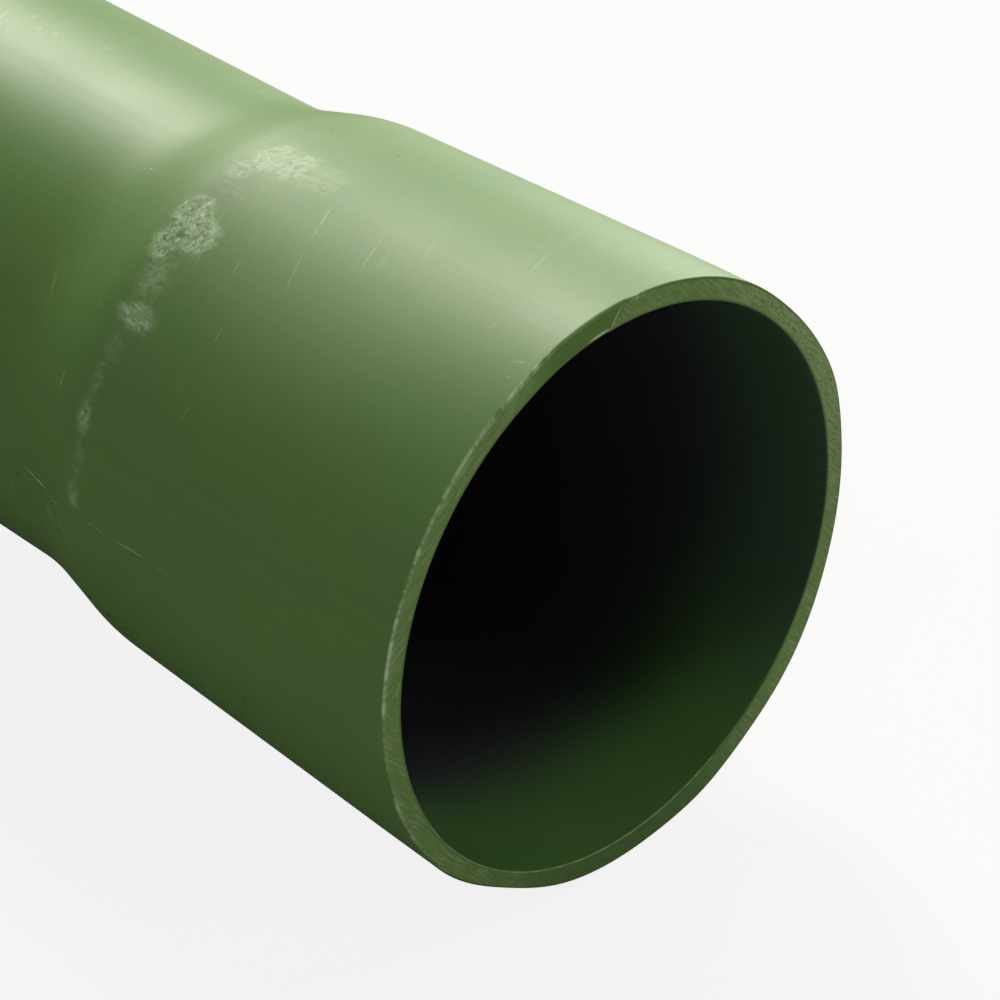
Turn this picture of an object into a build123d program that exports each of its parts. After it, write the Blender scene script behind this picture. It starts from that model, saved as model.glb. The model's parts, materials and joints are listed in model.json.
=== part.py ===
# PVC electrical conduit pipe: one length of stock, plain at one end and belled at the other.
# It is a single extruded tube. One end was softened and pushed over a mandrel, so that its wall opens
# through a conical shoulder into a tapered socket, which takes the plain end of the next length.
# The pipe lies along X with its mouth towards +X. The origin is on the floor, under the middle of its box.
from build123d import *
import os
from math import radians, tan

# Tube, at the standard size for 4 in trade size heavy wall conduit
pipe_outer_diameter = 114.3
pipe_wall = 6.0
stock_length = 3000.0

# Bell, thinner than the tube because the same plastic goes round a larger circle
socket_depth = 99.0
socket_mouth_diameter = 122.7
socket_root_clearance = 0.3
bell_mouth_wall = 4.95
bell_root_wall = 5.35

# Shoulder between tube and bell
shoulder_length = 23.0
throat_blend = 70.0
shoulder_blend = 35.0

# Mouth, sawn by hand a little out of square, with its top edge set back
mouth_cut_tilt = 2.8
mouth_edge_break = 0.4

# Plain end, with its sharp edges taken off
spigot_edge_break = 0.8

# How far the bell runs past its saw cut before it is trimmed
overrun = 10.0

# Radii and places that follow from the sizes above, with the cut's centre at zero along the axis
pipe_outer_radius = pipe_outer_diameter / 2
pipe_inner_radius = pipe_outer_radius - pipe_wall
socket_root_radius = pipe_outer_radius + socket_root_clearance
socket_mouth_radius = socket_mouth_diameter / 2
bell_root_radius = socket_root_radius + bell_root_wall
bell_mouth_radius = socket_mouth_radius + bell_mouth_wall
bell_root_x = -socket_depth
throat_x = bell_root_x - shoulder_length
spigot_x = -stock_length

# The bell's two straight tapers, as growth in radius for each unit of length
outer_taper = (bell_mouth_radius - bell_root_radius) / socket_depth
inner_taper = (socket_mouth_radius - socket_root_radius) / socket_depth

# The tilted cut leaves the bottom of the mouth longest, and that lip touches the floor
cut_slope = tan(radians(mouth_cut_tilt))
lip_x = bell_mouth_radius * cut_slope / (1 - outer_taper * cut_slope)
lip_radius = bell_mouth_radius + outer_taper * lip_x
trim_x = lip_x + overrun

# Frame: the axis stands one lip radius above the floor, and the box is centred along X
axis_height = lip_radius
middle_x = (spigot_x + lip_x) / 2
section_plane = Plane(origin=(-middle_x, 0, axis_height), x_dir=(1, 0, 0), z_dir=(0, -1, 0))
pipe_axis = Axis(section_plane.origin, section_plane.x_dir)
cut_plane = Plane(
    origin=section_plane.origin,
    x_dir=(0, 1, 0),
    z_dir=(1, 0, cut_slope),
)

with BuildPart() as conduit_pipe:
    # Half section of the wall, turned about the pipe's axis
    with BuildSketch(section_plane):
        with BuildLine():
            outside = FilletPolyline(
                (spigot_x, pipe_outer_radius),
                (throat_x, pipe_outer_radius),
                (bell_root_x, bell_root_radius),
                (trim_x, bell_mouth_radius + outer_taper * trim_x),
                radius=[throat_blend, shoulder_blend],
            )
            inside = FilletPolyline(
                (spigot_x, pipe_inner_radius),
                (throat_x, pipe_inner_radius),
                (bell_root_x, socket_root_radius),
                (trim_x, socket_mouth_radius + inner_taper * trim_x),
                radius=[throat_blend + pipe_wall, shoulder_blend - bell_root_wall],
            )
            Line(outside @ 0, inside @ 0)
            Line(outside @ 1, inside @ 1)
        make_face()
    revolve(axis=pipe_axis)

    # Saw cut that leaves the mouth
    split(bisect_by=cut_plane, keep=Keep.BOTTOM)

    # Edges broken by hand at both ends
    ends = conduit_pipe.faces().filter_by(GeomType.PLANE).sort_by(Axis.X)
    chamfer(ends[0].edges(), spigot_edge_break)
    chamfer(ends[-1].edges(), mouth_edge_break)

conduit_pipe.part.label = "conduit_pipe"

os.makedirs("parts", exist_ok=True)
export_step(conduit_pipe.part, "parts/conduit_pipe.step")
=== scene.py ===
import json
from collections import namedtuple
from math import atan2, cos, hypot, pi, radians, sin, tan

import bpy
import numpy as np
from mathutils import Matrix, Vector


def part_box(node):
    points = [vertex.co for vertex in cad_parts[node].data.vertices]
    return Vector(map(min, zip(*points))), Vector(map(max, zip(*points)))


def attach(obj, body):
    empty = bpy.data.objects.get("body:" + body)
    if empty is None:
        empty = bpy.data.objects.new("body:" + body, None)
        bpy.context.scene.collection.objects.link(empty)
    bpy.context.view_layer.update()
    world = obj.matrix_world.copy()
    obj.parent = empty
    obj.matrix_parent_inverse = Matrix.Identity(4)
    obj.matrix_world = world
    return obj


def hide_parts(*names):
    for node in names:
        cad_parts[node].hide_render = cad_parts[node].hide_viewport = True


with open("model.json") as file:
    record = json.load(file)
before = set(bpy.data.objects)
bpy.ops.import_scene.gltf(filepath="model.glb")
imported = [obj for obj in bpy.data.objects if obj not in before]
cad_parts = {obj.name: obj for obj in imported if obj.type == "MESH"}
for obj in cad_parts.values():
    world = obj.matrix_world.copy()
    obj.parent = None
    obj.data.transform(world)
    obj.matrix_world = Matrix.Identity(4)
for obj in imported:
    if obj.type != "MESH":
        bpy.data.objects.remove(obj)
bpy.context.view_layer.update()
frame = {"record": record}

# Sizes in metres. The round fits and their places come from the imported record.
MM = 0.001
MOUNTS = {mount["name"]: mount for mount in frame["record"]["mounts"]}
TUBE_RADIUS = MOUNTS["spigot"]["dims"]["r_mm"] * MM
BORE_RADIUS = MOUNTS["wireway"]["dims"]["r_mm"] * MM
SOCKET_ROOT_RADIUS = MOUNTS["socket"]["dims"]["r_mm"] * MM
SOCKET_DEPTH = MOUNTS["socket"]["dims"]["length_mm"] * MM
MOUTH = Vector(MOUNTS["socket"]["pos_m"])
SPIGOT_BACK = MOUTH.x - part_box("conduit_pipe")[0].x
SPIGOT_EDGE = 0.8 * MM

# The bell's wall and the shoulder that leads to it
SOCKET_MOUTH_RADIUS = 61.35 * MM
BELL_MOUTH_RADIUS = 66.3 * MM
BELL_ROOT_RADIUS = 62.8 * MM
MOUTH_WALL = BELL_MOUTH_RADIUS - SOCKET_MOUTH_RADIUS
THROAT_BACK = SOCKET_DEPTH + 23.0 * MM
OUTSIDE_BLENDS = (70.0 * MM, 35.0 * MM)
INSIDE_BLENDS = (76.0 * MM, 29.65 * MM)

# The saw cut leans, and the bell leans with it, fading out behind the throat
CUT_SLOPE = tan(radians(2.8))
LEAN_END = THROAT_BACK + 6.0 * MM

# Angles round the pipe are degrees from the top, towards -Y.

# Edges of the mouth: the outer one is blunt, but sharp on the side that kept its burr
INNER_EDGE = 0.28 * MM
BLUNT_EDGE = 0.5 * MM
SHARP_EDGE = 0.35 * MM
SHARP_FROM, SHARP_TO, SHARP_FADE = 16.0, 135.0, 10.0
EDGE_MARGIN = 0.15 * MM

# Burr on the outer edge: start, end and fade in degrees, and share of the full rise
BURRS = [
    (14.0, 88.0, 6.0, 1.0),
    (80.0, 122.0, 8.0, 0.45),
    (-9.0, -2.0, 2.0, 0.7),
]
BURR_RISE = 0.25 * MM
BURR_ON_EDGE = 1.5
BURR_ON_FACE = 0.2
KNOTS = [20.0, 27.0, 45.0, 56.0, 68.0, 72.5, 77.0, 84.0, 105.0, 114.0]
KNOT_WIDTH = 0.9
KNOT_SHARE = 0.8

# The outer edge is worn flat or pushed out in places: degrees, half width in degrees, depth
OUT_OF_ROUND = [
    (147.0, 13.0, 1.2 * MM),
    (-160.0, 10.0, -0.8 * MM),
    (-132.0, 17.0, -1.1 * MM),
    (-72.0, 9.0, -0.6 * MM),
    (-47.0, 11.0, 0.45 * MM),
]
OUT_OF_ROUND_REACH = 18.0 * MM

# Stretch of the cut that broke away before the saw was through, with a torn sliver on its inner edge
BREAK_FROM = -1.9
BREAK_SLANT = 4.7
BREAK_LIP = 0.4
BREAK_FADE = (14.0, 24.0)
BREAK_DEPTH = 0.5 * MM
CHIP_DEPTH = 0.4 * BREAK_DEPTH
SLIVER_FROM, SLIVER_TO = 1.5, 8.0

# Painted highlight along the bottom of the inner edge: where it fades in, on the left and on the right
EDGE_HIGHLIGHT_LEFT = (85.0, 115.0)
EDGE_HIGHLIGHT_RIGHT = (140.0, 165.0)

# Noise round the mouth: seed, and fewest and most waves in a turn
BURR_WAVES = (3, 8, 45)
BURR_TEETH = (4, 110, 300)
EDGE_HIGHLIGHT_WAVES = (8, 20, 120)
CUT_WAVES = (11, 3, 40)
CUT_RIPPLE = 0.05 * MM

# Rubbed patches: mm back, degrees, half length in mm, half width in degrees, strength, share hatched
SCUFFS = [
    (95.0, 5.5, 4.5, 7.0, 0.85, 0.2),
    (97.0, 11.0, 4.0, 4.0, 0.75, 0.3),
    (88.5, 4.5, 6.0, 6.0, 0.8, 0.4),
    (80.5, 4.5, 7.0, 5.0, 0.55, 0.5),
    (94.5, 17.0, 5.5, 4.0, 0.35, 1.0),
    (96.5, 24.0, 5.5, 5.5, 1.0, 0.0),
    (91.0, 27.5, 6.0, 5.0, 1.0, 0.0),
    (97.0, 31.5, 4.5, 5.0, 0.9, 0.0),
    (93.5, 38.5, 5.0, 5.5, 0.6, 0.2),
    (92.0, 46.0, 6.6, 3.2, 0.95, 0.7),
    (94.2, 53.0, 2.2, 5.0, 0.5, 0.3),
    (94.6, 60.0, 2.0, 6.0, 0.5, 0.3),
    (95.2, 67.5, 2.4, 4.5, 0.75, 0.0),
    (94.6, 75.0, 2.0, 6.0, 0.45, 0.3),
    (95.1, 83.5, 2.2, 3.5, 0.65, 0.0),
]
SCUFF_FADE = (0.45, 1.3)
SCUFF_ROUGHNESS = 0.02 * MM
SCUFF_SEED = 21

# Steps of the turned mesh round the pipe, over an edge and across the cut
ROUND_STEPS = 720
EDGE_STEPS = 4
CUT_STEPS = 8

# Rings along the pipe: start and end of a stretch, back from the mouth, and count
OUTSIDE_STRETCHES = [
    (SPIGOT_BACK - SPIGOT_EDGE, 300 * MM, 6),
    (300 * MM, 145 * MM, 6),
    (145 * MM, 75 * MM, 44),
    (75 * MM, 8 * MM, 12),
    (8 * MM, 2 * MM, 6),
]
INSIDE_STRETCHES = [
    (1 * MM, 8 * MM, 4),
    (8 * MM, 90 * MM, 7),
    (90 * MM, 140 * MM, 14),
    (140 * MM, 300 * MM, 4),
    (300 * MM, SPIGOT_BACK - SPIGOT_EDGE, 6),
]

# Kinds of surface, in the order of the pipe's materials
OUTSIDE, SAWN, INSIDE = range(3)


# Outline helpers

def blended(points, radii, steps=8):
    """A polyline through points, with each inner corner rounded by its radius."""
    line = [Vector(points[0])]
    for before, corner, after, radius in zip(points, points[1:], points[2:], radii):
        corner = Vector(corner)
        back = (Vector(before) - corner).normalized()
        on = (Vector(after) - corner).normalized()
        half = back.angle(on) / 2
        middle = corner + (back + on).normalized() * (radius / sin(half))
        start = corner + back * (radius / tan(half))
        end = corner + on * (radius / tan(half))
        for step in range(steps + 1):
            chord = start.lerp(end, step / steps)
            line.append(middle + (chord - middle).normalized() * radius)
    line.append(Vector(points[-1]))
    return np.array([tuple(p) for p in line])


def radius_on(line, back):
    """Radius of an outline at distances back from the mouth."""
    return np.interp(back, line[::-1, 0], line[::-1, 1])


def spaced(stretches):
    """Distances back from the mouth, along stretches that follow each other."""
    places = [np.linspace(start, end, count, endpoint=False) for start, end, count in stretches]
    last = stretches[-1][1]
    return np.concatenate([*places, [last]])


def smooth_step(value, low, high):
    share = np.clip((value - low) / (high - low), 0, 1)
    return share * share * (3 - 2 * share)


def between(value, start, end, soft):
    """One from start to end, with a soft fade to zero inside each of them."""
    return smooth_step(value, start, start + soft) * (1 - smooth_step(value, end - soft, end))


def wobble(angle, seed, lowest, highest):
    """Noise round the pipe that closes on itself, about one unit either way."""
    rng = np.random.default_rng(seed)
    total = np.zeros_like(angle)
    for turns in range(lowest, highest + 1):
        total += rng.normal() * np.cos(turns * angle + rng.uniform(0, 2 * pi))
    return total / np.sqrt(highest - lowest + 1)


# The bell's tapers run on past the mouth, as far again as the socket is deep
outside_line = blended(
    [
        (SPIGOT_BACK, TUBE_RADIUS),
        (THROAT_BACK, TUBE_RADIUS),
        (SOCKET_DEPTH, BELL_ROOT_RADIUS),
        (-SOCKET_DEPTH, 2 * BELL_MOUTH_RADIUS - BELL_ROOT_RADIUS),
    ],
    OUTSIDE_BLENDS,
)
inside_line = blended(
    [
        (SPIGOT_BACK, BORE_RADIUS),
        (THROAT_BACK, BORE_RADIUS),
        (SOCKET_DEPTH, SOCKET_ROOT_RADIUS),
        (-SOCKET_DEPTH, 2 * SOCKET_MOUTH_RADIUS - SOCKET_ROOT_RADIUS),
    ],
    INSIDE_BLENDS,
)


# Shape of the mouth

def lean(back, radius, angle):
    """How far a ring leans back: the bell sits askew, like its saw cut, and the tube is straight."""
    share = 1 - smooth_step(back, SOCKET_DEPTH, LEAN_END)
    return share * radius * np.cos(angle) * CUT_SLOPE


def worn(back, angle):
    """How far the skin lies below the true round near the mouth's edge."""
    depth = 0
    for degrees, half_width, deepest in OUT_OF_ROUND:
        near = (np.degrees(angle) - degrees) / half_width
        depth = depth + deepest * np.exp(-near * near)
    return depth * (1 - smooth_step(back, 0.0, OUT_OF_ROUND_REACH))


def outer_edge(angle):
    """Radius of the mouth's rounded outer edge."""
    sharp = between(np.degrees(angle), SHARP_FROM, SHARP_TO, SHARP_FADE)
    return BLUNT_EDGE + (SHARP_EDGE - BLUNT_EDGE) * sharp


def burr_share(angle):
    """Share of the full burr that stands on the outer edge, ragged and with knots."""
    degrees = np.degrees(angle)
    on_burr = sum(share * between(degrees, start, end, soft) for start, end, soft, share in BURRS)
    ragged = 0.5 + 0.4 * wobble(angle, *BURR_WAVES) + 0.3 * wobble(angle, *BURR_TEETH)
    knots = sum(np.exp(-((degrees - knot) / KNOT_WIDTH) ** 2) for knot in KNOTS)
    return on_burr * (np.clip(ragged, 0.1, 1.0) + KNOT_SHARE * knots)


def broken(angle, share):
    """How much of the cut broke away, at a share of the wall in from its outer edge."""
    degrees = np.degrees(angle)
    lip = BREAK_FROM + BREAK_SLANT * share
    begun = smooth_step(degrees, lip - BREAK_LIP, lip + BREAK_LIP)
    return begun * (1 - smooth_step(degrees, *BREAK_FADE))


def inner_edge_highlight(angle):
    """Share of painted highlight on the inner edge, along its bottom."""
    degrees = np.degrees(angle)
    low = np.maximum(smooth_step(degrees, *EDGE_HIGHLIGHT_LEFT), smooth_step(-degrees, *EDGE_HIGHLIGHT_RIGHT))
    return low * np.clip(0.75 + 0.25 * wobble(angle, *EDGE_HIGHLIGHT_WAVES), 0, 1)


# Pipe mesh

Ring = namedtuple("Ring", "back radius along kind burr facet")


class Rings:
    """Rows of the turned mesh. A ring's place along the unrolled skin is kept beside its real one."""

    def __init__(self, angle):
        self.angle = angle
        self.rows = []

    def add(self, back, radius, along, kind, burr=0.0, facet=0.0):
        flat = 0 * self.angle
        shares = (burr + flat, facet + flat)
        self.rows.append(Ring(back + flat, radius + flat, along + flat, kind, *shares))

    def column(self, name):
        return np.array([getattr(row, name) for row in self.rows])


def add_skin(rings):
    """The outside, from the plain end to just behind the mouth's edge."""
    for back in spaced(OUTSIDE_STRETCHES):
        radius = radius_on(outside_line, back) - worn(back, rings.angle)
        rings.add(back + lean(back, radius, rings.angle), radius, back, OUTSIDE)


def add_outer_edge(rings, start, edge, burr):
    """The mouth's outer edge: a quarter turn from the skin to the cut, with the burr on its crest."""
    chip = CHIP_DEPTH * broken(rings.angle, 0)
    depth = edge + EDGE_MARGIN
    rings.add(depth + chip + lean(0, start, rings.angle), start, depth, OUTSIDE)
    for step in range(EDGE_STEPS + 1):
        turn = pi / 2 * step / EDGE_STEPS
        depth = edge * (1 - sin(turn))
        inward = edge * (1 - cos(turn))
        radius = start - inward
        rise = BURR_RISE * burr * sin(2 * turn)
        back = depth + chip + lean(0, radius, rings.angle) - rise
        pale = burr * min(BURR_ON_EDGE * sin(turn), 1)
        rings.add(back, radius + rise, depth - inward, OUTSIDE, pale)


def add_cut(rings, start, burr):
    """The sawn end, with the stretch that broke away."""
    end = SOCKET_MOUTH_RADIUS + INNER_EDGE
    ripple = CUT_RIPPLE * wobble(rings.angle, *CUT_WAVES)
    for share in np.linspace(0, 1, CUT_STEPS + 1)[1:-1]:
        radius = start + (end - start) * share
        away = broken(rings.angle, share)
        back = lean(0, radius, rings.angle) + away * BREAK_DEPTH + ripple
        pale = burr * BURR_ON_FACE ** (CUT_STEPS * share)
        rings.add(back, radius, radius - BELL_MOUTH_RADIUS, SAWN, pale, away)


def add_inner_edge(rings):
    """The mouth's inner edge: a quarter turn from the cut to the bore, with a painted highlight along
    its bottom.
    """
    edge_highlight = inner_edge_highlight(rings.angle)
    chip = CHIP_DEPTH * broken(rings.angle, 1)
    for step in range(EDGE_STEPS + 1):
        turn = pi / 2 * step / EDGE_STEPS
        depth = INNER_EDGE * (1 - cos(turn))
        radius = SOCKET_MOUTH_RADIUS + INNER_EDGE * (1 - sin(turn))
        back = depth + chip + lean(0, radius, rings.angle)
        kind = INSIDE if step else SAWN
        # The pale share given here is a painted highlight along the bottom of the inner edge
        rings.add(back, radius, -MOUTH_WALL - depth, kind, edge_highlight * sin(2 * turn), 1.0)


def add_bore(rings):
    """The inside, from the mouth to the plain end, and that end's face."""
    for back in spaced(INSIDE_STRETCHES):
        radius = radius_on(inside_line, back)
        rings.add(back + lean(back, radius, rings.angle), radius, -MOUTH_WALL - back, INSIDE)
    for radius in (BORE_RADIUS + SPIGOT_EDGE, TUBE_RADIUS - SPIGOT_EDGE):
        rings.add(SPIGOT_BACK, radius, radius - TUBE_RADIUS, SAWN)


def pipe_rings(angle):
    rings = Rings(angle)
    edge = outer_edge(angle)
    burr = burr_share(angle)
    start = BELL_MOUTH_RADIUS - worn(0, angle)
    add_skin(rings)
    add_outer_edge(rings, start, edge, burr)
    add_cut(rings, start - edge, burr)
    add_inner_edge(rings)
    add_bore(rings)
    return rings


def spot(at_mm, degrees):
    """Place on the unrolled skin of a mark, from its mm back from the mouth's middle and degrees."""
    turn = radians(degrees)
    return (at_mm * MM - lean(0, BELL_ROOT_RADIUS, turn), turn * TUBE_RADIUS)


def scuff_masks(along, angle, kind):
    """How rubbed and how hatched the skin is, from the list of patches."""
    rubbed = np.zeros_like(along)
    hatched = np.zeros_like(along)
    outside = (kind == OUTSIDE)[:, None]
    for at, turn, half_along, half_turn, strength, hatch in SCUFFS:
        off_along = (along - spot(at, turn)[0]) / (half_along * MM)
        off_round = (np.degrees(angle) - turn) / half_turn
        away = np.hypot(off_along, off_round)
        patch = strength * (1 - smooth_step(away, *SCUFF_FADE)) * outside
        hatched = np.where(patch > rubbed, hatch, hatched)
        rubbed = np.maximum(rubbed, patch)
    return rubbed, hatched


def turned_mesh(back, radius, angle):
    """A closed mesh with a row of faces from each ring to the next, and from the last to the first."""
    sideways = -radius * np.sin(angle)
    upwards = MOUTH.z + radius * np.cos(angle)
    places = np.stack([MOUTH.x - back, sideways, upwards], axis=-1)
    index = np.arange(back.size).reshape(back.shape)
    beside = np.roll(index, -1, axis=1)
    corners = [index, beside, np.roll(beside, -1, axis=0), np.roll(index, -1, axis=0)]
    quads = np.stack(corners, axis=-1)
    mesh = bpy.data.meshes.new("conduit_pipe_skin")
    mesh.from_pydata(places.reshape(-1, 3).tolist(), [], quads.reshape(-1, 4).tolist())
    mesh.polygons.foreach_set("use_smooth", np.ones(len(mesh.polygons), bool))
    return mesh


def assign_kinds(mesh, kind):
    """Material of each row of faces: sawn between the edges of an end, else that of its next ring."""
    following = np.roll(kind, -1)
    sawn = (following == SAWN) | ((kind == SAWN) & (following == INSIDE))
    row_kind = np.where(sawn, SAWN, following)
    mesh.polygons.foreach_set("material_index", np.repeat(row_kind, ROUND_STEPS).astype(np.int32))


def add_share(mesh, name, values):
    """A value from zero to one at each corner, for the materials to read."""
    layer = mesh.attributes.new(name, "FLOAT", "POINT")
    layer.data.foreach_set("value", values.astype(np.float32).ravel())


def unroll(mesh, along, angle):
    """Map in metres: along the skin from the mouth's outer edge, and round from the top."""
    layer = mesh.uv_layers.new(name="unrolled")
    corner = np.zeros(len(mesh.loops), np.int32)
    mesh.loops.foreach_get("vertex_index", corner)
    step = (corner % ROUND_STEPS).reshape(-1, 4)
    closes = (np.ptp(step, axis=1) > 1)[:, None] & (step == 0)
    turn = angle[step] + np.where(closes, 2 * pi, 0)
    spots = np.stack([along.reshape(-1)[corner], turn.reshape(-1) * TUBE_RADIUS], axis=1)
    layer.uv.foreach_set("vector", spots.astype(np.float32).ravel())


def make_pipe():
    angle = np.linspace(-pi, pi, ROUND_STEPS, endpoint=False)
    rings = pipe_rings(angle)
    along = rings.column("along")
    kind = rings.column("kind")
    rubbed, hatched = scuff_masks(along, angle, kind)
    rng = np.random.default_rng(SCUFF_SEED)
    radius = rings.column("radius") + rubbed * rng.normal(0, SCUFF_ROUGHNESS, rubbed.shape)
    mesh = turned_mesh(rings.column("back"), radius, angle)
    assign_kinds(mesh, kind)
    add_share(mesh, "rubbed", rubbed)
    add_share(mesh, "hatched", hatched)
    add_share(mesh, "burr", rings.column("burr"))
    add_share(mesh, "facet", rings.column("facet"))
    unroll(mesh, along, angle)
    mesh.update()
    piece = bpy.data.objects.new("conduit_pipe_skin", mesh)
    bpy.context.scene.collection.objects.link(piece)
    return piece


# Node helpers

class Nodes:
    """Short ways to add nodes to one shader tree."""

    def __init__(self, tree):
        self.tree = tree

    def add(self, kind, **settings):
        node = self.tree.nodes.new(kind)
        for name, value in settings.items():
            setattr(node, name, value)
        return node

    def put(self, socket, value):
        if isinstance(value, bpy.types.NodeSocket):
            self.tree.links.new(value, socket)
        else:
            socket.default_value = value

    def math(self, operation, first, second=0.0, clamp=False):
        node = self.add("ShaderNodeMath", operation=operation, use_clamp=clamp)
        self.put(node.inputs[0], first)
        self.put(node.inputs[1], second)
        return node.outputs[0]

    def plus(self, first, second):
        return self.math("ADD", first, second)

    def times(self, first, second):
        return self.math("MULTIPLY", first, second)

    def larger(self, first, second):
        return self.math("MAXIMUM", first, second)

    def opposite(self, share):
        return self.math("SUBTRACT", 1.0, share)

    def ramp(self, value, low, high, start=0.0, end=1.0, curve="SMOOTHSTEP"):
        """A value that goes from start to end as another goes from low to high."""
        node = self.add("ShaderNodeMapRange", interpolation_type=curve)
        for socket, number in zip(node.inputs, (value, low, high, start, end)):
            self.put(socket, number)
        return node.outputs[0]

    def mix(self, share, first, second):
        """A colour that goes from the first to the second with the share."""
        node = self.add("ShaderNodeMix", data_type="RGBA")
        self.put(node.inputs[0], share)
        self.put(node.inputs[6], first)
        self.put(node.inputs[7], second)
        return node.outputs[2]

    def blend(self, share, first, second):
        """The tree's output, as a blend of two shaders."""
        node = self.add("ShaderNodeMixShader")
        self.put(node.inputs[0], share)
        self.put(node.inputs[1], first.outputs[0])
        self.put(node.inputs[2], second.outputs[0])
        output = self.tree.get_output_node("ALL")
        self.put(output.inputs["Surface"], node.outputs[0])

    def attribute(self, name):
        return self.add("ShaderNodeAttribute", attribute_name=name).outputs["Fac"]

    def unrolled(self):
        return self.add("ShaderNodeUVMap", uv_map="unrolled").outputs[0]

    def split(self, vector):
        """The first two parts of a vector."""
        node = self.add("ShaderNodeSeparateXYZ")
        self.put(node.inputs[0], vector)
        return node.outputs[0], node.outputs[1]

    def mapped(self, vector, size, turn=(0, 0, 0), at=(0, 0, 0)):
        """Coordinates in a box of a size, turned and put at a place."""
        node = self.add("ShaderNodeMapping", vector_type="TEXTURE")
        self.put(node.inputs["Vector"], vector)
        node.inputs["Location"].default_value = at
        node.inputs["Rotation"].default_value = turn
        node.inputs["Scale"].default_value = size
        return node.outputs[0]

    def grains(self, vector, detail, rough=0.5, bent=0.0):
        """Noise with grains one unit long."""
        node = self.add("ShaderNodeTexNoise")
        self.put(node.inputs["Vector"], vector)
        node.inputs["Scale"].default_value = 1.0
        node.inputs["Detail"].default_value = detail
        node.inputs["Roughness"].default_value = rough
        node.inputs["Distortion"].default_value = bent
        return node.outputs[0]

    def noise(self, skin, size, detail=2.0, rough=0.5, turn=0.0, bent=0.0):
        """Noise with grains of a length and a width in mm, the length turned from the pipe's axis."""
        length, width = size
        vector = self.mapped(skin, (length * MM, width * MM, 1), (0, 0, turn))
        return self.grains(vector, detail, rough, bent)

    def crossing(self, value, width):
        """One where a noise is at its middle value, and zero a width away from it."""
        off = self.math("ABSOLUTE", self.math("SUBTRACT", value, 0.5))
        return self.ramp(off, 0.0, width, 1.0, 0.0)

    def fibres(self, skin, size, turn, width):
        """Thin winding lines, where a stretched noise crosses its middle value."""
        return self.crossing(self.noise(skin, size, turn=turn, bent=0.4), width)

    def stroke(self, skin, at, half_size, turn=0.0):
        """A soft oval on the unrolled skin, one at its middle and zero at its edge."""
        oval = self.add("ShaderNodeTexGradient", gradient_type="SPHERICAL")
        self.put(oval.inputs["Vector"], self.mapped(skin, (*half_size, 1), (0, 0, turn), (*at, 0)))
        return oval.outputs[1]

    def plastic(self, colour, rough, specular, height, relief):
        """Fill in the material's shader, with a height that stands for so much relief."""
        shader = self.tree.nodes["Principled BSDF"]
        self.put(shader.inputs["Base Color"], colour)
        self.put(shader.inputs["Roughness"], rough)
        shader.inputs["Specular IOR Level"].default_value = specular
        bump = self.add("ShaderNodeBump")
        bump.inputs["Strength"].default_value = 1.0
        bump.inputs["Distance"].default_value = relief
        self.put(bump.inputs["Height"], height)
        self.put(shader.inputs["Normal"], bump.outputs[0])


def new_material(name):
    material = bpy.data.materials.new(name)
    material.use_nodes = True
    return material, Nodes(material.node_tree)


# Scratches: mm back, degrees, length in mm, width in mm, lean from the axis in degrees, strength
SCRATCHES = [
    (70.0, 13.5, 11.0, 0.55, 113.0, 0.55),
    (65.0, 25.0, 12.5, 0.55, 113.0, 0.4),
    (54.2, 14.5, 10.0, 0.5, 109.0, 0.5),
    (77.5, 28.8, 5.5, 0.5, 103.0, 0.35),
    (70.7, 41.8, 4.0, 0.45, 92.0, 0.5),
    (69.0, 56.2, 5.0, 0.45, 75.0, 0.35),
    (105.5, 63.5, 5.0, 0.6, 85.0, 0.7),
    (111.0, 88.0, 14.0, 0.6, 2.0, 0.7),
    (103.0, 88.6, 8.0, 0.5, 3.0, 0.6),
    (88.0, 87.3, 8.0, 0.4, 2.0, 0.4),
    (77.0, 86.8, 12.0, 0.5, 4.0, 0.6),
    (66.0, 86.6, 9.0, 0.4, 3.0, 0.3),
    (18.2, 16.2, 4.0, 0.5, 70.0, 0.35),
    (7.3, 20.4, 4.0, 0.6, 20.0, 0.4),
    (6.1, 23.6, 1.4, 0.8, 0.0, 0.5),
    (121.0, 18.0, 1.0, 0.9, 0.0, 0.7),
]

# Pits: mm back, degrees, length in mm, width in mm
PITS = [
    (95.4, -10.3, 1.3, 0.9),
    (77.9, -12.1, 1.4, 0.9),
    (118.0, 4.0, 1.2, 0.8),
    (88.0, 5.0, 1.6, 1.0),
    (45.0, 105.6, 3.4, 0.8),
    (97.5, 110.5, 5.0, 1.2),
    (92.0, 112.5, 7.0, 1.6),
    (87.2, 113.7, 4.0, 1.2),
    (120.0, 92.0, 2.0, 0.8),
]
PIT_LEAN = 0.4

# Broad pale patches, mostly painted highlight that widens and lifts the bell's sheen, partly chalky
# wear on the top rubbed patch: mm back, degrees, half length in mm, half width in mm, strength
CHALK_AND_HIGHLIGHT = [
    (50.0, 24.0, 75.0, 28.0, 0.5),
    (7.0, 9.0, 15.0, 9.0, 0.35),
    (88.0, 5.0, 16.0, 10.0, 0.45),
]

# Brown smudges of ground-in dirt beside the rubbed patches, in the same form
SMUDGES = [
    (94.5, 17.0, 7.5, 5.5, 0.75),
    (96.0, 36.0, 6.0, 8.0, 0.45),
    (84.0, 37.0, 9.0, 4.0, 0.4),
    (88.0, 50.0, 12.0, 6.0, 0.3),
]


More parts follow.
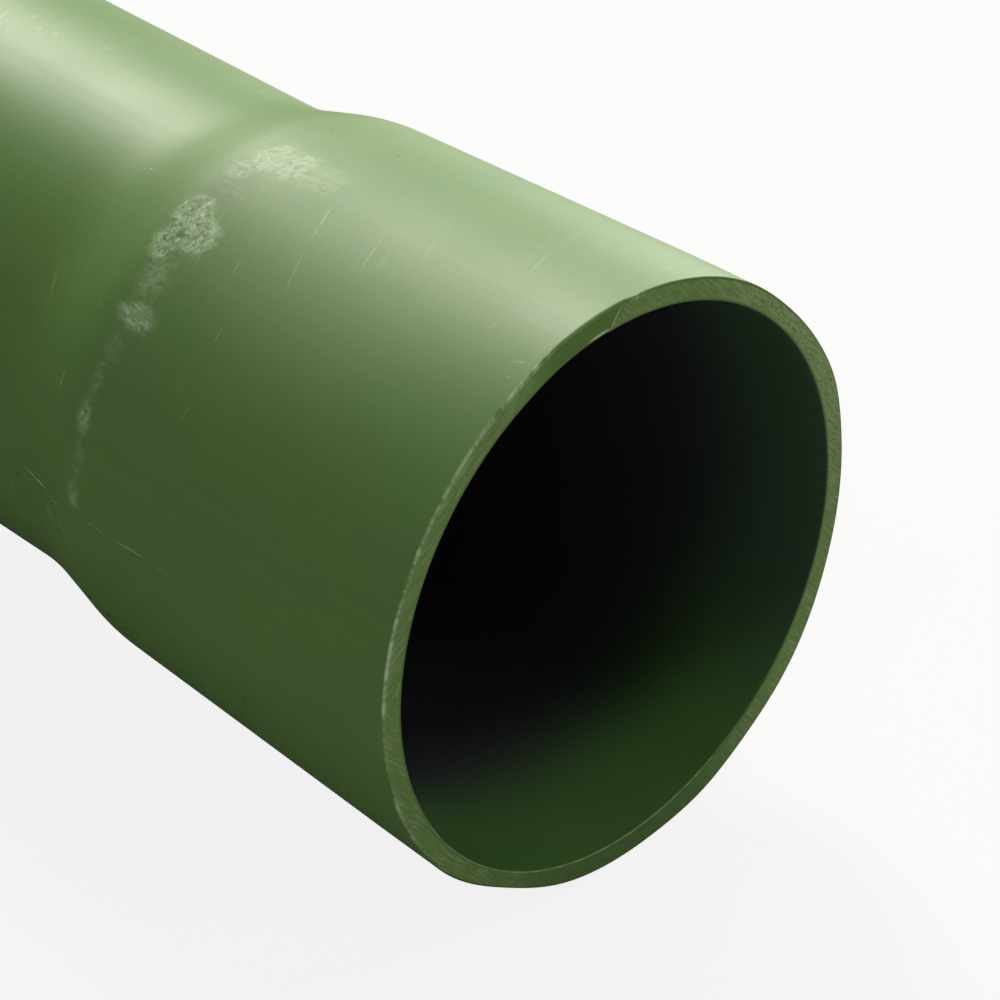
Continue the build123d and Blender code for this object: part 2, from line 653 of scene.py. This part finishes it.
# Colours of the skin and of its worn places, with painted highlight and painted shadow
OLIVE = (0.107, 0.222, 0.031, 1)
BLUISH = (0.093, 0.223, 0.037, 1)
LEAFY = (0.108, 0.24, 0.042, 1)
EXTRUDED_LINE = (0.13, 0.25, 0.056, 1)
DARK_SPECK = (0.05, 0.1, 0.025, 1)
HAZE_AND_HIGHLIGHT = (0.25, 0.38, 0.17, 1)
BROWN = (0.16, 0.165, 0.07, 1)
TEAR_AND_SHADOW = (0.05, 0.1, 0.02, 1)
FLAKE = (0.66, 0.8, 0.55, 1)
PALE = (0.5, 0.67, 0.4, 1)
PIT = (0.03, 0.055, 0.02, 1)

# Colours of the sawn end
CUT_DARK = (0.133, 0.246, 0.046, 1)
CUT_LIGHT = (0.182, 0.314, 0.076, 1)
SAW_MARK = (0.4, 0.53, 0.26, 1)
FRAYED = (0.42, 0.55, 0.28, 1)
SMOOTH_BREAK = (0.115, 0.235, 0.038, 1)
CUT_LOWER_TONE = (0.083, 0.184, 0.036, 1)

# Colours of the inside
BORE_DARK = (0.07, 0.18, 0.036, 1)
BORE_LIGHT = (0.08, 0.195, 0.042, 1)
BORE_LINE = (0.09, 0.205, 0.05, 1)
# Painted shade of the inside: on its upper part and further in
UPPER_BORE_SHADE = (0.055, 0.09, 0.075, 1)
DEEP_BORE_SHADE = (0.052, 0.049, 0.062, 1)
INNER_EDGE_HIGHLIGHT = (0.34, 0.48, 0.17, 1)

# Roughness of the skin: the tube kept its sheen, and the bell went duller when it was stretched
TUBE_ROUGHNESS = 0.5
BELL_ROUGHNESS = 0.55
MOUTH_SHINE = -0.03


# Outside

def green_skin(nodes, drift, tone, lines, specks):
    """The green itself, between olive, bluish and leafy, with the extruder's lines and fine specks."""
    green = nodes.mix(nodes.ramp(drift, 0.35, 0.65), OLIVE, BLUISH)
    green = nodes.mix(nodes.ramp(tone, 0.4, 0.75, 0.0, 0.5), green, LEAFY)
    green = nodes.mix(nodes.ramp(lines, 0.45, 0.8, 0.0, 0.4), green, EXTRUDED_LINE)
    green = nodes.mix(nodes.ramp(specks, 0.66, 0.76, 0.0, 0.35), green, HAZE_AND_HIGHLIGHT)
    return nodes.mix(nodes.ramp(specks, 0.24, 0.34, 0.35, 0.0), green, DARK_SPECK)


def torn_fibres(nodes, skin, flakes, rubbed):
    """Fibres torn up in the rubbed patches, or a hatching of fine lines where they are hatched."""
    hatched = nodes.attribute("hatched")
    torn = nodes.larger(nodes.crossing(flakes, 0.035), nodes.ramp(flakes, 0.5, 0.66, 0.0, 0.6))
    torn = nodes.larger(torn, nodes.times(nodes.fibres(skin, (7, 1.0), -0.4, 0.04), 0.6))
    torn = nodes.times(torn, nodes.opposite(hatched))
    hatch = nodes.times(nodes.fibres(skin, (14, 0.55), -0.12, 0.08), hatched)
    torn = nodes.larger(torn, nodes.times(hatch, 0.8))
    strands = nodes.noise(skin, (1.5, 1.5))
    torn = nodes.times(torn, nodes.ramp(strands, 0.35, 0.6, 0.2, 1.0))
    return nodes.times(torn, nodes.ramp(rubbed, 0.4, 0.85, 0.2, 1.0))


def rubbed_skin(nodes, skin):
    """Rubbed patches with soft ragged edges, the fibres torn up in them, and the dark tear lines
    between, partly painted shadow beside the flakes.
    """
    rubbed = nodes.attribute("rubbed")
    ragged = nodes.noise(skin, (2.4, 1.6), detail=4.0, rough=0.65)
    ragged = nodes.ramp(ragged, 0.25, 0.75, -0.25, 0.25)
    patch = nodes.ramp(nodes.plus(rubbed, ragged), 0.1, 0.9)
    patch = nodes.times(patch, nodes.ramp(rubbed, 0.02, 0.25))
    flakes = nodes.noise(skin, (3.4, 1.5), detail=3.0, rough=0.6, turn=0.9, bent=1.2)
    torn = torn_fibres(nodes, skin, flakes, rubbed)
    # Dark where the flakes' noise is low: tear lines, partly painted shadow beside the flakes
    tears_and_shadows = nodes.ramp(flakes, 0.36, 0.46, 1.0, 0.0)
    return patch, nodes.times(torn, patch), nodes.times(tears_and_shadows, patch)


def soft_patches(nodes, skin, patches):
    """Broad soft ovals on the skin, from a list of them."""
    share = 0.0
    for at, turn, half_along, half_round, strength in patches:
        oval = nodes.stroke(skin, spot(at, turn), (half_along * MM, half_round * MM))
        share = nodes.plus(share, nodes.ramp(oval, 0.0, 1.0, 0.0, strength))
    return share


def single_scratches(nodes, skin):
    """The listed scratches, broken up along their length."""
    scratch = 0.0
    for at, turn, length, width, slant, strength in SCRATCHES:
        half_size = (length / 2 * MM, width / 2 * MM)
        oval = nodes.stroke(skin, spot(at, turn), half_size, radians(slant))
        scratch = nodes.larger(scratch, nodes.times(nodes.ramp(oval, 0.0, 0.6), strength))
    gaps = nodes.ramp(nodes.noise(skin, (1.1, 1.1)), 0.35, 0.55, 0.15, 1.0)
    return nodes.times(scratch, gaps)


def hair_scratches(nodes, skin, tone):
    """Faint straight hairs round the pipe, on some patches of the skin."""
    hairs = nodes.crossing(nodes.noise(skin, (60, 5), detail=1.0, turn=1.9), 0.006)
    return nodes.times(hairs, nodes.ramp(tone, 0.53, 0.63, 0.0, 0.2))


def pitted_skin(nodes, skin):
    """The listed dark pits."""
    pit = 0.0
    for at, turn, length, width in PITS:
        half_size = (length / 2 * MM, width / 2 * MM)
        oval = nodes.stroke(skin, spot(at, turn), half_size, PIT_LEAN)
        pit = nodes.larger(pit, nodes.ramp(oval, 0.1, 0.7))
    return pit


def worn_skin(nodes, skin, green, tone, specks):
    """The green with a painted highlight, chalk, dirt, rubbed patches with painted shadow beside their
    flakes, scratches, the burred edge and pits laid over it.
    """
    # Painted highlight on the bell, partly chalky wear, from the broad pale patches
    colour = nodes.mix(soft_patches(nodes, skin, CHALK_AND_HIGHLIGHT), green, HAZE_AND_HIGHLIGHT)
    spotted = nodes.ramp(specks, 0.35, 0.6, 1.0, 0.3)
    dirt = nodes.times(soft_patches(nodes, skin, SMUDGES), spotted)
    colour = nodes.mix(dirt, colour, BROWN)
    patch, torn, tears_and_shadows = rubbed_skin(nodes, skin)
    colour = nodes.mix(nodes.times(patch, 0.55), colour, HAZE_AND_HIGHLIGHT)
    # Dark tear lines, partly painted shadow beside the lifted flakes
    colour = nodes.mix(nodes.times(tears_and_shadows, 0.65), colour, TEAR_AND_SHADOW)
    colour = nodes.mix(torn, colour, FLAKE)
    scratch = nodes.larger(single_scratches(nodes, skin), hair_scratches(nodes, skin, tone))
    scratch = nodes.times(scratch, 0.8)
    burr = nodes.times(nodes.attribute("burr"), 0.85)
    bright = nodes.math("MAXIMUM", scratch, burr, clamp=True)
    colour = nodes.mix(bright, colour, PALE)
    return nodes.mix(nodes.times(pitted_skin(nodes, skin), 0.75), colour, PIT)


def sheen(nodes, skin, drift, lines):
    """Roughness along the pipe, with a little unevenness."""
    along, _ = nodes.split(skin)
    rough = nodes.ramp(along, 90 * MM, 135 * MM, BELL_ROUGHNESS, TUBE_ROUGHNESS)
    rough = nodes.plus(rough, nodes.ramp(along, 5 * MM, 40 * MM, MOUTH_SHINE, 0.0))
    rough = nodes.plus(rough, nodes.ramp(drift, 0.3, 0.7, -0.015, 0.015))
    return nodes.plus(rough, nodes.ramp(lines, 0.3, 0.7, -0.012, 0.012))


def pvc_outside():
    material, nodes = new_material("pvc_outside")
    skin = nodes.unrolled()
    drift = nodes.noise(skin, (45, 33), detail=3.0)
    tone = nodes.noise(skin, (70, 30), turn=0.4)
    lines = nodes.noise(skin, (200, 1.4), detail=3.0, rough=0.6)
    specks = nodes.noise(skin, (1.3, 1.0), detail=3.0, rough=0.6)
    grain = nodes.noise(skin, (0.4, 0.4))
    green = green_skin(nodes, drift, tone, lines, specks)
    colour = worn_skin(nodes, skin, green, tone, specks)
    rough = sheen(nodes, skin, drift, lines)
    raised = nodes.ramp(nodes.attribute("rubbed"), 0.1, 0.9, 0.02, 0.25)
    height = nodes.plus(nodes.times(grain, raised), nodes.times(lines, 0.01))
    nodes.plastic(colour, rough, specular=0.7, height=height, relief=0.2 * MM)
    return material


# Sawn end

def saw_marks(nodes, slant):
    """Fine marks that run straight across the whole end, at a slant from level."""
    end = nodes.add("ShaderNodeTexCoord").outputs["Object"]
    size = (20 * MM, 5 * MM, 0.42 * MM)
    marks = nodes.grains(nodes.mapped(end, size, (radians(slant), 0, 0)), detail=2.0)
    return nodes.ramp(marks, 0.42, 0.68)


def saw_cut(nodes, skin, turn, facet):
    """Marks of a saw that came from two sides: they turn at the top and below the middle."""
    turned = nodes.ramp(turn, radians(80) * TUBE_RADIUS, radians(92) * TUBE_RADIUS)
    past_top = nodes.ramp(turn, 2 * MM, 8 * MM, 1.0, 0.0)
    turned = nodes.math("ADD", turned, past_top, clamp=True)
    upper = nodes.times(saw_marks(nodes, 31), nodes.opposite(turned))
    cut = nodes.plus(upper, nodes.times(saw_marks(nodes, -50), turned))
    bunch = nodes.noise(skin, (6, 6))
    cut = nodes.times(cut, nodes.ramp(bunch, 0.3, 0.6, 0.35, 1.0))
    return nodes.times(cut, nodes.opposite(facet))


def frayed_side(nodes, skin, grain):
    """Pale fraying on the upper right of the cut."""
    at = (0, radians(-62) * TUBE_RADIUS)
    half_size = (0.1, radians(45) * TUBE_RADIUS)
    side = nodes.ramp(nodes.stroke(skin, at, half_size), 0.0, 0.8, 0.0, 0.5)
    return nodes.times(side, nodes.ramp(grain, 0.35, 0.65))


def break_lines(nodes, skin):
    """The pale line where the broken stretch begins, and the torn sliver on its inner edge."""
    start = radians(BREAK_FROM) * TUBE_RADIUS
    rise = radians(BREAK_SLANT) * TUBE_RADIUS
    at = (-MOUTH_WALL / 2, start + rise / 2)
    half_size = (hypot(MOUTH_WALL, rise) / 2, 0.2 * MM)
    lip = nodes.stroke(skin, at, half_size, atan2(rise, -MOUTH_WALL))
    at = (-MOUTH_WALL + 0.35 * MM, radians((SLIVER_FROM + SLIVER_TO) / 2) * TUBE_RADIUS)
    half_size = (radians(SLIVER_TO - SLIVER_FROM) / 2 * TUBE_RADIUS, 0.4 * MM)
    sliver = nodes.stroke(skin, at, half_size, pi / 2)
    return nodes.larger(nodes.ramp(lip, 0.0, 0.5, 0.0, 0.5), nodes.ramp(sliver, 0.0, 0.5, 0.0, 0.9))


def pvc_sawn():
    material, nodes = new_material("pvc_sawn")
    skin = nodes.unrolled()
    _, turn = nodes.split(skin)
    grain = nodes.noise(skin, (0.7, 0.7), detail=3.0, rough=0.65)
    facet = nodes.attribute("facet")
    cut = saw_cut(nodes, skin, turn, facet)
    colour = nodes.mix(nodes.ramp(grain, 0.3, 0.7), CUT_DARK, CUT_LIGHT)
    colour = nodes.mix(nodes.times(cut, 0.5), colour, SAW_MARK)
    colour = nodes.mix(frayed_side(nodes, skin, grain), colour, FRAYED)
    colour = nodes.mix(facet, colour, SMOOTH_BREAK)
    # The end is darker towards its bottom
    low = nodes.math("ABSOLUTE", turn)
    low = nodes.ramp(low, radians(130) * TUBE_RADIUS, radians(165) * TUBE_RADIUS, 0.0, 0.6)
    colour = nodes.mix(low, colour, CUT_LOWER_TONE)
    # Pale burr and break lines, with a little painted highlight where the inner edge begins
    pale = nodes.larger(nodes.attribute("burr"), break_lines(nodes, skin))
    colour = nodes.mix(pale, colour, PALE)
    rough = nodes.ramp(grain, 0.3, 0.7, 0.6, 0.75)
    height = nodes.plus(nodes.times(cut, 0.4), nodes.times(grain, 0.4))
    nodes.plastic(colour, rough, specular=0.5, height=height, relief=0.1 * MM)
    return material


# Inside

def pvc_inside():
    material, nodes = new_material("pvc_inside")
    skin = nodes.unrolled()
    along, turn = nodes.split(skin)
    lines = nodes.noise(skin, (200, 2.0), detail=3.0, rough=0.6)
    dust = nodes.noise(skin, (25, 25), detail=4.0)
    colour = nodes.mix(nodes.ramp(dust, 0.35, 0.7), BORE_DARK, BORE_LIGHT)
    colour = nodes.mix(nodes.ramp(lines, 0.5, 0.8, 0.0, 0.3), colour, BORE_LINE)
    # Painted shade on all but the lowest part, and darker painted shade further in, both thinning out
    # towards the plain end
    belled = nodes.ramp(along, -SPIGOT_BACK, -SPIGOT_BACK / 2)
    upper_shade = nodes.ramp(nodes.math("ABSOLUTE", turn), 110 * MM, 150 * MM, 0.7, 0.0)
    colour = nodes.mix(nodes.times(upper_shade, belled), colour, UPPER_BORE_SHADE)
    deep_shade = nodes.ramp(along, -50 * MM, -18 * MM, 0.97, 0.0)
    colour = nodes.mix(nodes.times(deep_shade, belled), colour, DEEP_BORE_SHADE)
    # Painted highlight along the bottom of the inner edge
    colour = nodes.mix(nodes.attribute("burr"), colour, INNER_EDGE_HIGHLIGHT)
    rough = nodes.ramp(lines, 0.3, 0.8, 0.48, 0.58)
    nodes.plastic(colour, rough, specular=0.4, height=lines, relief=0.02 * MM)
    return material


# Studio: the floor looks white, but throws back little light, so that the flank stays deep green
FLOOR_HALF = 40.0
FLOOR_PALE = 0.8
FLOOR_BOUNCE = 0.7
FLOOR_DARK = 0.12
FLOOR_GLOW = 0.86
WHITE = (1, 1, 1, 1)
WHITE_MIRRORED = 0.03

# The room is dimmer in front of the mouth than behind the pipe
ROOM_FADE = (-0.4, 0.7)
ROOM_BEHIND = 0.16
ROOM_IN_FRONT = 0.08

# Lamps: name, offset from the mouth, width and height, radiance, tint
LAMPS = [
    ("key", (-4.0, 2.5, 3.36), (2.2, 2.3), 18.0, (1.0, 1.0, 0.86)),
    ("back_strip", (-1.0, 1.85, 0.42), (0.5, 0.81), 14.5, (1.0, 1.0, 0.9)),
    ("top_front", (1.12, 1.92, 3.32), (0.9, 0.9), 9.0, (1.0, 1.0, 1.0)),
    ("side", (-0.3, -2.8, 2.8), (2.5, 2.0), 1.2, (1.0, 1.0, 1.0)),
    ("front_right", (2.4, 1.5, 1.0), (0.8, 0.6), 4.8, (1.0, 1.0, 1.0)),
]


def ray_kinds(nodes):
    """One for a ray that sees the white as it is, and one for a ray that mirrors it."""
    path = nodes.add("ShaderNodeLightPath")
    seen = nodes.larger(path.outputs["Is Camera Ray"], path.outputs["Is Transmission Ray"])
    return seen, path.outputs["Is Glossy Ray"]


def make_floor():
    h = FLOOR_HALF
    mesh = bpy.data.meshes.new("floor")
    mesh.from_pydata([(-h, -h, 0), (h, -h, 0), (h, h, 0), (-h, h, 0)], [], [(0, 1, 2, 3)])
    floor = bpy.data.objects.new("floor", mesh)
    bpy.context.scene.collection.objects.link(floor)
    mesh.materials.append(pale_floor())


def pale_floor():
    material, nodes = new_material("pale_floor")
    nodes.tree.nodes.remove(nodes.tree.nodes["Principled BSDF"])
    seen, mirrored = ray_kinds(nodes)
    diffuse = nodes.add("ShaderNodeBsdfDiffuse")
    shade = nodes.ramp(mirrored, 0.0, 1.0, FLOOR_BOUNCE, FLOOR_DARK)
    nodes.put(diffuse.inputs["Color"], nodes.ramp(seen, 0.0, 1.0, shade, FLOOR_PALE))
    glow = nodes.add("ShaderNodeEmission")
    white = nodes.larger(nodes.times(seen, FLOOR_GLOW), nodes.times(mirrored, WHITE_MIRRORED))
    nodes.blend(white, diffuse, glow)
    material.cycles.emission_sampling = "NONE"
    return material


def make_world():
    world = bpy.data.worlds.new("studio")
    bpy.context.scene.world = world
    world.use_nodes = True
    nodes = Nodes(world.node_tree)
    room = world.node_tree.nodes["Background"]
    room.inputs["Color"].default_value = WHITE
    ahead, _ = nodes.split(nodes.add("ShaderNodeTexCoord").outputs["Generated"])
    strength = nodes.ramp(ahead, *ROOM_FADE, ROOM_BEHIND, ROOM_IN_FRONT, curve="LINEAR")
    nodes.put(room.inputs["Strength"], strength)
    backdrop = nodes.add("ShaderNodeBackground")
    backdrop.inputs["Color"].default_value = WHITE
    seen, mirrored = ray_kinds(nodes)
    white = nodes.larger(seen, nodes.times(mirrored, WHITE_MIRRORED))
    nodes.blend(white, room, backdrop)


def make_lamp(name, offset, size, radiance, tint):
    """A soft rectangle that hangs at an offset from the mouth and faces it."""
    lamp = bpy.data.lights.new(name, "AREA")
    lamp.shape = "RECTANGLE"
    lamp.size, lamp.size_y = size
    lamp.energy = radiance * pi * size[0] * size[1]
    lamp.color = tint
    holder = bpy.data.objects.new(name, lamp)
    facing = Vector(offset).normalized()
    level = (Vector((1, 0, 0)) - facing * facing.x).normalized()
    turn = Matrix((level, facing.cross(level), facing)).transposed().to_4x4()
    holder.matrix_world = Matrix.Translation(MOUTH + Vector(offset)) @ turn
    holder.visible_camera = False
    bpy.context.scene.collection.objects.link(holder)


# Camera, at the photograph's angle: the mouth's centre sits at this pixel of a 1000 pixel square
IMAGE_SIZE = 1000
FOCAL_PIXELS = 3600.0
SENSOR_WIDTH = 36.0
NEAREST = 0.01
MOUTH_PIXEL = (625.0, 591.9)
MOUTH_DEPTH = 0.71596
VIEW_AZIMUTH = radians(45.03)
VIEW_ELEVATION = radians(35.56)


def make_camera():
    data = bpy.data.cameras.new("camera")
    data.sensor_width = SENSOR_WIDTH
    data.lens = SENSOR_WIDTH * FOCAL_PIXELS / IMAGE_SIZE
    data.clip_start = NEAREST
    camera = bpy.data.objects.new("camera", data)
    right = Vector((cos(VIEW_AZIMUTH), sin(VIEW_AZIMUTH), 0))
    level = Vector((-sin(VIEW_AZIMUTH), cos(VIEW_AZIMUTH), 0))
    ahead = level * cos(VIEW_ELEVATION) - Vector((0, 0, sin(VIEW_ELEVATION)))
    up = right.cross(ahead)
    across = (MOUTH_PIXEL[0] - IMAGE_SIZE / 2) / FOCAL_PIXELS * MOUTH_DEPTH
    down = (MOUTH_PIXEL[1] - IMAGE_SIZE / 2) / FOCAL_PIXELS * MOUTH_DEPTH
    place = MOUTH - right * across + up * down - ahead * MOUTH_DEPTH
    turn = Matrix((right, up, -ahead)).transposed().to_4x4()
    camera.matrix_world = Matrix.Translation(place) @ turn
    bpy.context.scene.collection.objects.link(camera)
    bpy.context.scene.camera = camera


pipe = make_pipe()
for material in (pvc_outside(), pvc_sawn(), pvc_inside()):
    pipe.data.materials.append(material)
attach(pipe, "root")
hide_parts("conduit_pipe")

make_floor()
for lamp in LAMPS:
    make_lamp(*lamp)
make_world()
make_camera()
bpy.context.scene.view_settings.view_transform = "Standard"
